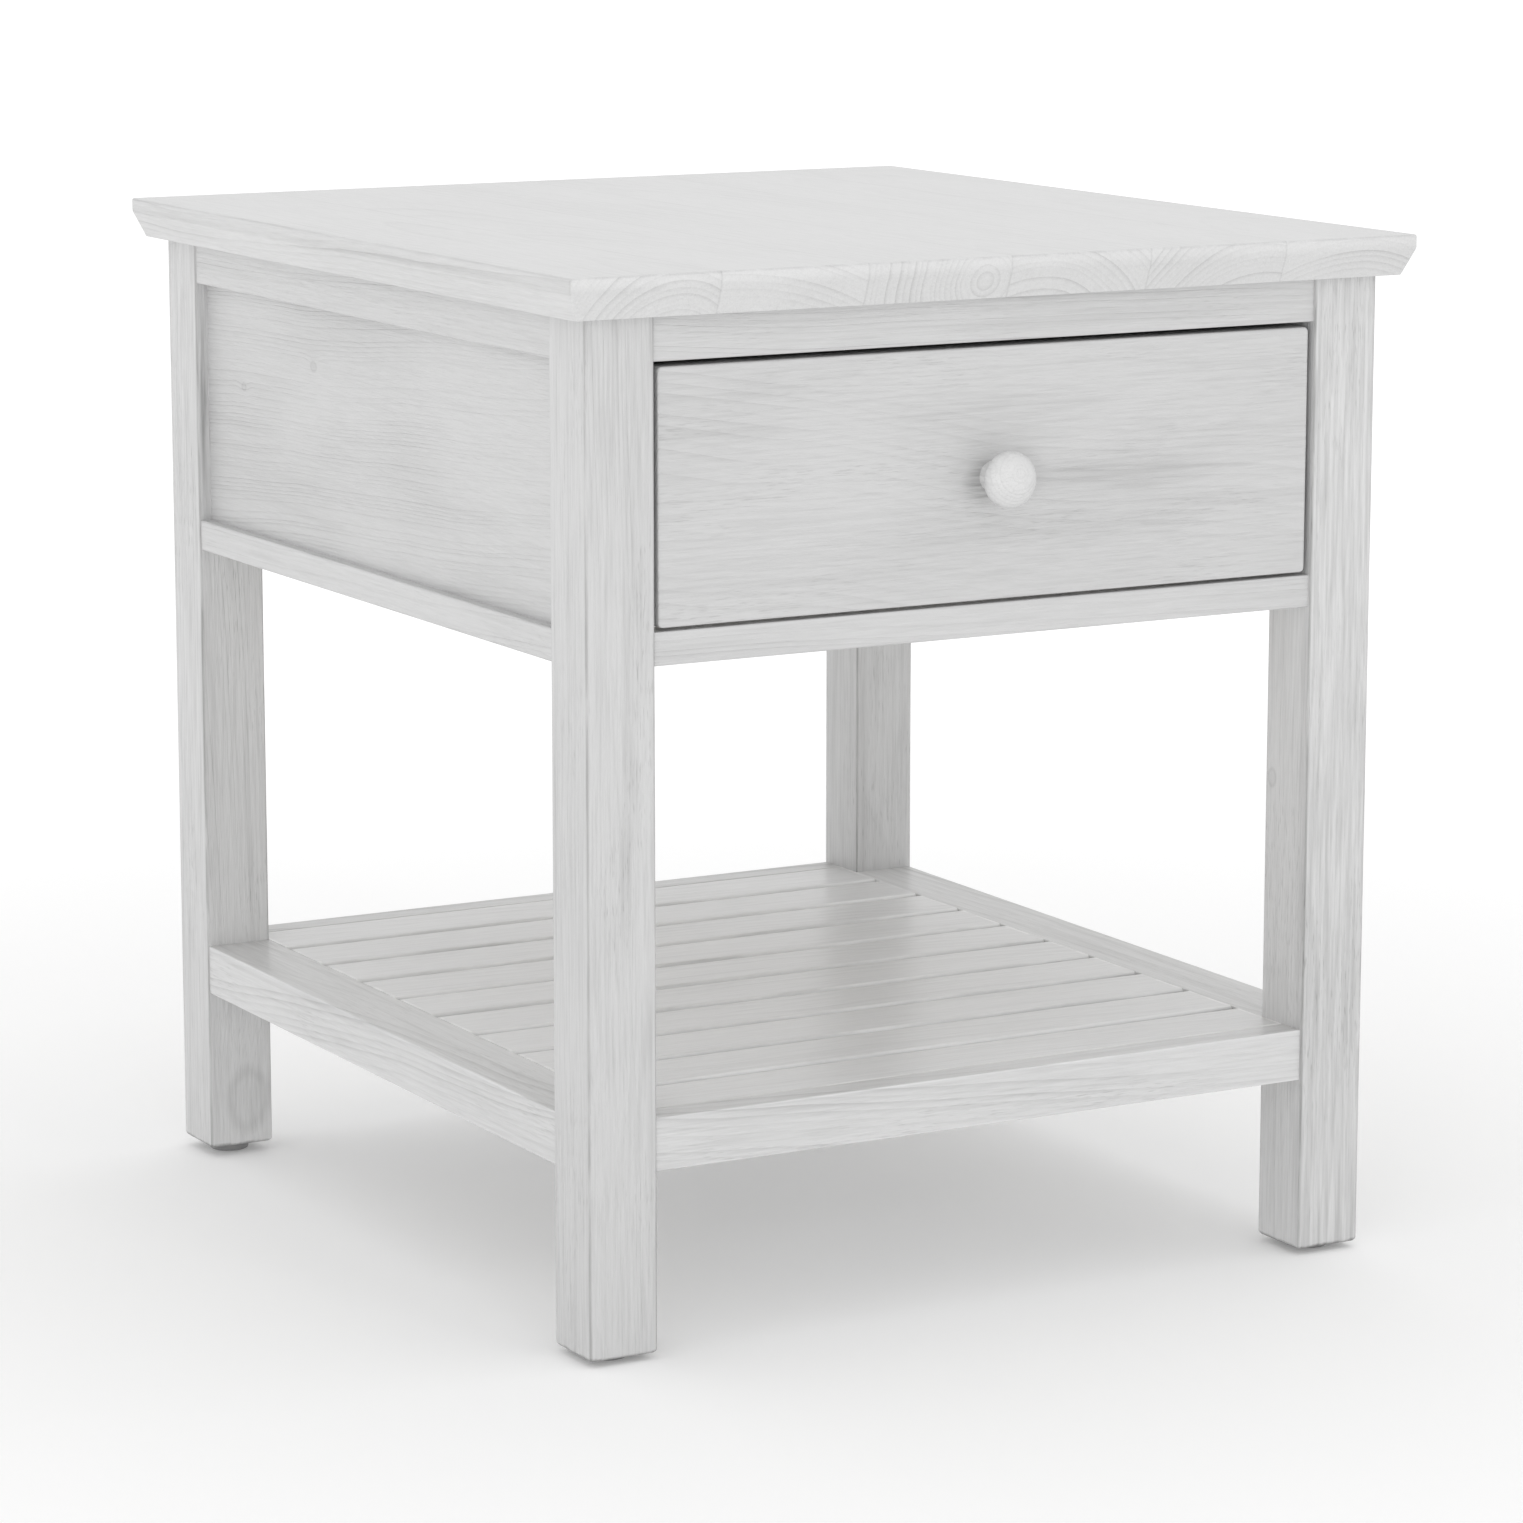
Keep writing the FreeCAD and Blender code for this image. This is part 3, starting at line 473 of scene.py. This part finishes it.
# what differs from leg to leg: its pith's place across the grain, its wash, knots and stains, and painted
# light and shade on some faces
legsOwn = {
    "front_left_leg": {
        "seed": 2,
        "pith": (-0.055, 0.030, 0.0),
        "stainsAndShade": (((0.0085, -legFace, 0.157), (0.011, 0.01, 0.120), 0.13),
                   ((0.0045, -legFace, 0.002), (0.009, 0.01, 0.085), 0.11)),
    },
    "front_right_leg": {
        "seed": 3,
        "pith": (0.055, 0.042, 0.0),
        # painted light: a whiter wash for its shaded left face
        "washAndPaintedLight": 0.70,
        "knots": (((0.0, 0.0145, -0.009), "x", 0.0040),),
        "stainsAndShade": (((0.0, -legFace, 0.0), (0.20, 0.012, 2.0), 0.20),),  # painted shade over all of its front face
    },
    "back_left_leg": {
        "seed": 4,
        "pith": (-0.055, 0.054, 0.0),
        # painted light: a whiter wash for its shaded front face
        "washAndPaintedLight": 0.68,
        "knots": (((0.0045, 0.0, -0.263), "y", 0.0145),),
        "stainsAndShade": (((-0.0175, -legFace, 0.191), (0.0030, 0.004, 0.088), 0.35),  # beside the panel
                   ((-legFace, 0.0, 0.0), (0.012, 0.20, 2.0), 0.10)),           # painted shade over all of its left face
    },
    "back_right_leg": {
        "seed": 5,
        "pith": (0.055, 0.066, 0.0),
    },
}
for leg, own in legsOwn.items():
    paint(leg, **{**legLook, **own})
print("tabletop and legs painted")

panelLook = {
    "grain": "y",
    "ringWidth": 0.0024,
    "washAndPaintedLight": 0.60,
    "ringDepth": 0.13,
    "bandDepth": 0.05,
    "streakDepth": 0.06,
    "grainDepth": 0.045,
    "cloudDepth": 0.10,
    "edgeDepth": 0.0,
    "paintedCornerShade": 0.0,
}
panelsOwn = {
    "left_side_panel": {
        "seed": 7,
        "pith": (0.034, 0.022, 0.0),
        "lean": (0.02, 0.06, 0.0),
        "knots": (((0.0, 0.085, 0.038), "x", 0.0032), ((0.0, 0.190, 0.015), "x", 0.0024)),
    },
    "right_side_panel": {
        "seed": 8,
        "pith": (0.034, 0.022, 0.0),
        "lean": (0.02, 0.06, 0.0),
    },
    "back_panel": {
        "grain": "x",
        "seed": 9,
        "pith": (-0.034, 0.030, 0.0),
    },
}
for panel, own in panelsOwn.items():
    paint(panel, **{**panelLook, **own})

railLook = {
    "ringDepth": 0.12,
    "streakDepth": 0.08,
    "grainDepth": 0.12,
    "edgeDepth": 0.08,
}
# each rail's grain, seed and its pith's place across the grain
railsOwn = {
    "left_side_top_rail": ("y", 10, (0.04, 0.05, 0.0)),
    "left_side_low_rail": ("y", 11, (0.04, 0.03, 0.0)),
    "right_side_top_rail": ("y", 12, (0.04, 0.01, 0.0)),
    "right_side_low_rail": ("y", 13, (0.04, -0.01, 0.0)),
    "front_top_rail": ("x", 15, (0.05, 0.04, 0.0)),
    "front_low_rail": ("x", 16, (0.05, 0.02, 0.0)),
    "back_top_rail": ("x", 17, (0.05, 0.0, 0.0)),
    "back_low_rail": ("x", 18, (0.05, -0.02, 0.0)),
}
for rail, (grain, seed, pith) in railsOwn.items():
    paint(rail, grain=grain, seed=seed, pith=pith, **railLook)
print("case painted")

frontLow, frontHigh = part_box("drawer_front")
frontFace = (frontHigh.y - frontLow.y) / 2  # how far its face is from its middle
drawerFrontLook = {
    "grain": "x",
    "washAndPaintedLight": 0.605,
    "seed": 21,
    "pith": (0.052, -0.014, 0.0),
    "lean": (0.05, 0.02, 0.0),
    "ringWidth": 0.0026,
    "ringDepth": 0.09,
    "bandDepth": 0.10,
    "streakDepth": 0.110,
    "grainDepth": 0.18,
    "cloudDepth": 0.060,
    "edgeDepth": 0.05,
    "stainsAndShade": (
        ((-0.006, -frontFace, -0.0045), (0.016, 0.02, 0.017), 0.46),  # painted shadow round the knob's foot
        ((0.085, -frontFace, -0.0045), (0.080, 0.02, 0.017), 0.15),
        ((0.000, -frontFace, 0.0365), (0.120, 0.02, 0.024), 0.09),
        ((0.030, -frontFace, -0.0335), (0.150, 0.02, 0.011), 0.11),
        ((0.150, -frontFace, 0.0575), (0.060, 0.02, 0.012), 0.06),
    ),
}
paint("drawer_front", **drawerFrontLook)

shelfRailLook = {
    "washAndPaintedLight": 0.68,
    "ringWidth": 0.0042,
    "ringDepth": 0.24,
    "bandDepth": 0.16,
    "streakDepth": 0.11,
    "grainDepth": 0.20,
    "cloudDepth": 0.05,
    "coat": 0.45,
    # a bright arris, partly rubbed finish and partly painted highlight
    "edgeDepth": -0.35,
}
# each shelf rail's grain, seed, and its pith's place and lean
shelfRailsOwn = {
    "shelf_left_rail": ("y", 24, (0.03, 0.02, 0.0), (0.03, 0.05, 0.0)),
    "shelf_right_rail": ("y", 25, (0.03, 0.02, 0.0), (0.03, 0.05, 0.0)),
    "shelf_front_rail": ("x", 27, (0.035, -0.018, 0.0), (0.02, 0.05, 0.0)),
    "shelf_back_rail": ("x", 28, (0.035, -0.018, 0.0), (0.02, 0.05, 0.0)),
}
for rail, (grain, seed, pith, lean) in shelfRailsOwn.items():
    paint(rail, grain=grain, seed=seed, pith=pith, lean=lean, **shelfRailLook)

slatLook = {
    "grain": "x",
    # painted light: the whitest wash, for the shelf in shade under the table
    "washAndPaintedLight": 0.76,
    "ringDepth": 0.09,
    "bandDepth": 0.05,
    "streakDepth": 0.07,
    "grainDepth": 0.06,
    "cloudDepth": 0.035,
    "coat": 0.60,
    # a wide bright arris: painted highlight on each slat's lit edge
    "edgeDepth": -1.0,
    "edgeLine": (0.0009, 0.0032),
    "paintedCornerShade": 0.0,
}
slatPith = {
    "aside": 0.02,    # to the left and the right in turn
    "first": -0.05,
    "step": 0.006,
    "seed": 31,
}
slats = sorted(name for name in nodes if name.startswith("shelf_slat_"))
for number, slat in enumerate(slats):
    side = 1 if number % 2 else -1
    pith = (slatPith["aside"] * side, slatPith["first"] + slatPith["step"] * number, 0.0)
    paint(slat, seed=slatPith["seed"] + number, pith=pith, **slatLook)
print("shelf painted,", len(slats), "slats")


# the knob: turned wood, its end grain showing on the face

knobLook = {
    "grain": "y",
    "washAndPaintedLight": 0.70,
    "seed": 45,
    "pith": (0.0035, 0.0020, 0.0),
    "lean": (0.0, 0.0, 0.0),
    "ringWidth": 0.0021,
    "ringDepth": 0.13,
    "bandDepth": 0.10,
    "streakDepth": 0.05,
    "grainDepth": 0.10,
    "cloudDepth": 0.08,
    "edgeDepth": 0.0,
}
dress("drawer_knob", makeWhitewash("drawer_knob", **knobLook))


# Bare softwood, for what the finish doesn't reach.

bareWood = {
    "plain": ((0.66, 0.63, 0.58, 1.0), (0.46, 0.42, 0.37, 1.0)),  # light, and dark in the grain
    "box": ((0.70, 0.67, 0.61, 1.0), (0.50, 0.46, 0.40, 1.0)),
    "ply": ((0.69, 0.66, 0.61, 1.0), (0.49, 0.45, 0.40, 1.0)),
    "roughness": (0.44, 0.66),
    "bumpDepth": 0.00025,
    "wornEdge": (0.0002, 0.0012, 0.08),                           # start and end in metres, and depth
}
bareFigure = {
    "pith": (0.03, 0.045, 0.0),
    "lean": (0.02, 0.04, 0.0),
    "ringWidth": 0.0030,
    "ringDepth": 0.30,
    "bandDepth": 0.06,
    "streakDepth": 0.12,
    "grainDepth": 0.20,
    "cloudDepth": 0.12,
}


def makeBareWood(piece, tint, grain, seed, **changes):
    material, tree, shader, place = newMaterial("bare_" + piece)
    low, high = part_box(piece)
    own = woodPlace(tree, place, {**plainLook, "grain": grain}, (low + high) / 2)[0]
    seeded = vectorCalc(tree, "ADD", own, (0.0, 0.0, whitewash["apart"] * seed))
    tone, height = useGroup(tree, woodFigure, {"place": seeded, **bareFigure, **changes})[:2]
    start, end, depth = bareWood["wornEdge"]
    tone = calc(tree, "ADD", tone, fade(tree, edgeDistance(tree, place, low, high), start, end, depth, 0.0))
    light, dark = bareWood[tint]
    tree.links.new(mixColour(tree, tone, dark, light), shader.inputs["Base Color"])
    smooth, rough = bareWood["roughness"]
    tree.links.new(calc(tree, "MULTIPLY_ADD", tone, smooth - rough, rough), shader.inputs["Roughness"])
    addBump(tree, shader, height, bareWood["bumpDepth"])
    return material


# each piece's grain and seed
plainPieces = {
    "shelf_left_cleat": ("y", 50),
    "shelf_right_cleat": ("y", 51),
    "left_top_cleat": ("y", 52),
    "right_top_cleat": ("y", 53),
    "left_slide_batten": ("y", 54),
    "right_slide_batten": ("y", 55),
}
boxPieces = {
    "drawer_left_side": ("y", 60),
    "drawer_right_side": ("y", 61),
    "drawer_box_front": ("x", 62),
    "drawer_box_back": ("x", 63),
}
bottomBoard = {"ringWidth": 0.0065, "ringDepth": 0.45}
for piece, (grain, seed) in plainPieces.items():
    dress(piece, makeBareWood(piece, "plain", grain, seed))
for piece, (grain, seed) in boxPieces.items():
    dress(piece, makeBareWood(piece, "box", grain, seed))
dress("drawer_bottom", makeBareWood("drawer_bottom", "ply", "x", 66, **bottomBoard))
print("knob, drawer box and cleats done")


# metal, rubber and plastic

hardware = {
    "slide": {
        "colour": (0.66, 0.67, 0.69, 1.0),
        "dark": (0.46, 0.47, 0.49, 1.0),
        "metal": 1.0,
        "rough": (0.26, 0.46),
        "density": (260.0, 6.0, 260.0),
        "bump": 0.00006,
    },
    "ball": {
        "colour": (0.78, 0.79, 0.81, 1.0),
        "dark": (0.66, 0.67, 0.69, 1.0),
        "metal": 1.0,
        "rough": (0.10, 0.22),
        "density": (900.0, 900.0, 900.0),
        "bump": 0.00002,
    },
    "screw": {
        "colour": (0.60, 0.60, 0.60, 1.0),
        "dark": (0.40, 0.40, 0.40, 1.0),
        "metal": 1.0,
        "rough": (0.28, 0.50),
        "density": (500.0, 500.0, 500.0),
        "bump": 0.00008,
    },
    "rubber": {
        "colour": (0.045, 0.045, 0.045, 1.0),
        "dark": (0.025, 0.025, 0.025, 1.0),
        "metal": 0.0,
        "rough": (0.62, 0.80),
        "density": (700.0, 700.0, 700.0),
        "bump": 0.00008,
    },
    "plastic": {
        "colour": (0.34, 0.34, 0.34, 1.0),
        "dark": (0.22, 0.22, 0.22, 1.0),
        "metal": 0.0,
        "rough": (0.40, 0.62),
        "density": (420.0, 420.0, 420.0),
        "bump": 0.00010,
    },
}
wear = {
    "scuffs": ((60.0, 60.0, 60.0), 0.45, 0.62),
    "scuffShare": 0.35,        # of the mix of the two colours
    "mottleShare": 0.65,
    "mottleRange": (0.25, 0.75),
}


def makeHardware(name):
    given = hardware[name]
    material, tree, shader, place = newMaterial(name + "_finish")
    mottle = noise(tree, place, given["density"], 3.0)
    scuffs = patchwork(tree, place, wear["scuffs"], 3.0)
    mix = calc(tree, "MULTIPLY", mottle, wear["mottleShare"])
    mix = calc(tree, "MULTIPLY_ADD", scuffs, wear["scuffShare"], mix)
    tree.links.new(mixColour(tree, mix, given["dark"], given["colour"]), shader.inputs["Base Color"])
    roughness = fade(tree, mottle, *wear["mottleRange"], *given["rough"])
    tree.links.new(roughness, shader.inputs["Roughness"])
    shader.inputs["Metallic"].default_value = given["metal"]
    addBump(tree, shader, mottle, given["bump"])
    return material


# finish, the slot it stands for, and the pieces that have it
hardwarePieces = {
    "slide": ("slide_steel", (
        "left_slide_case_member", "left_slide_drawer_member", "left_ball_cage",
        "right_slide_case_member", "right_slide_drawer_member", "right_ball_cage",
    )),
    "ball": ("ball_steel", ("slide_balls",)),
    "screw": ("screw_steel", (
        "case_slide_screws", "drawer_slide_screws", "frame_screws", "drawer_front_screws", "knob_screw",
    )),
    "rubber": ("bumper_rubber", ("slide_bumpers",)),
    "plastic": ("glide_plastic", ("foot_glides",)),
}
for name, (slot, pieces) in hardwarePieces.items():
    finish = makeHardware(name)
    for piece in pieces:
        dress(piece, finish)
print("hardware done")


# floor, light and camera

studio = {
    "floorRadius": 40.0,
    "floorCorners": 96,
    "floorColour": (0.90, 0.90, 0.90, 1.0),
    "floorRoughness": 0.9,
    "floorGlow": (0.11, 0.34),   # under the table, and far from it
    "glowReach": (0.5, 2.6),     # metres from the middle
    "sky": 0.88,
}

# each softbox: where it hangs, what it points at, its size in metres and its power in watts
softboxes = {
    "key": ((0.7, -3.8, 1.90), (0.0, -0.2, 0.45), 0.4, 5.0),
    "front": ((-2.6, -3.1, 0.55), (0.0, 0.0, 0.25), 1.0, 17.0),
    "side": ((-3.4, -0.9, 0.80), (0.1, 0.0, 0.25), 1.4, 1.5),
    "overhead": ((0.3, 0.2, 3.0), (0.0, 0.0, 0.5), 2.2, 7.0),
}


def makeFloor():
    rim = studio["floorCorners"]
    turn = 2 * math.pi / rim
    radius = studio["floorRadius"]
    corners = [(radius * math.cos(turn * i), radius * math.sin(turn * i), 0.0) for i in range(rim)]
    mesh = bpy.data.meshes.new("studioFloor")
    mesh.from_pydata(corners, [], [list(range(rim))])
    floor = bpy.data.objects.new("studioFloor", mesh)
    bpy.context.scene.collection.objects.link(floor)
    material, tree, shader, place = newMaterial("paleFloor")
    shader.inputs["Base Color"].default_value = studio["floorColour"]
    shader.inputs["Roughness"].default_value = studio["floorRoughness"]
    shader.inputs["Specular IOR Level"].default_value = 0.0
    shader.inputs["Emission Color"].default_value = (1.0, 1.0, 1.0, 1.0)
    away = vectorCalc(tree, "LENGTH", place)
    glow = fade(tree, away, *studio["glowReach"], *studio["floorGlow"])
    tree.links.new(glow, shader.inputs["Emission Strength"])
    mesh.materials.append(material)


def aim(thing, target):
    direction = Vector(target) - thing.location
    thing.rotation_euler = direction.to_track_quat("-Z", "Y").to_euler()


def makeSoftbox(name, spot, target, size, power):
    lamp = bpy.data.lights.new(name, "AREA")
    lamp.shape = "SQUARE"
    lamp.size = size
    lamp.energy = power
    box = bpy.data.objects.new(name, lamp)
    box.location = spot
    aim(box, target)
    bpy.context.scene.collection.objects.link(box)


def makeSky():
    world = bpy.data.worlds.new("studioSky")
    world.use_nodes = True
    background = world.node_tree.nodes["Background"]
    background.inputs["Color"].default_value = (1.0, 1.0, 1.0, 1.0)
    background.inputs["Strength"].default_value = studio["sky"]
    bpy.context.scene.world = world


makeFloor()
makeSky()
for name, setting in softboxes.items():
    makeSoftbox(name, *setting)
bpy.context.scene.view_settings.view_transform = "Standard"  # neutral greys

shot = {
    "target": (0.0065, -0.0033, 0.2770),
    "azimuth": -29.09,   # degrees, from straight in front towards the left
    "elevation": 10.60,
    "distance": 3.363,
    "lens": 127.9,
    "sensor": 36.0,
    "farClip": 100.0,
}


def makeCamera():
    turn, lift = math.radians(shot["azimuth"]), math.radians(shot["elevation"])
    back = Vector((math.sin(turn) * math.cos(lift), -math.cos(turn) * math.cos(lift), math.sin(lift)))
    view = bpy.data.cameras.new("shot")
    view.lens = shot["lens"]
    view.sensor_width = shot["sensor"]
    view.clip_end = shot["farClip"]
    camera = bpy.data.objects.new("shot", view)
    camera.location = Vector(shot["target"]) + back * shot["distance"]
    aim(camera, shot["target"])
    bpy.context.scene.collection.objects.link(camera)
    bpy.context.scene.camera = camera


makeCamera()
print("studio ready")
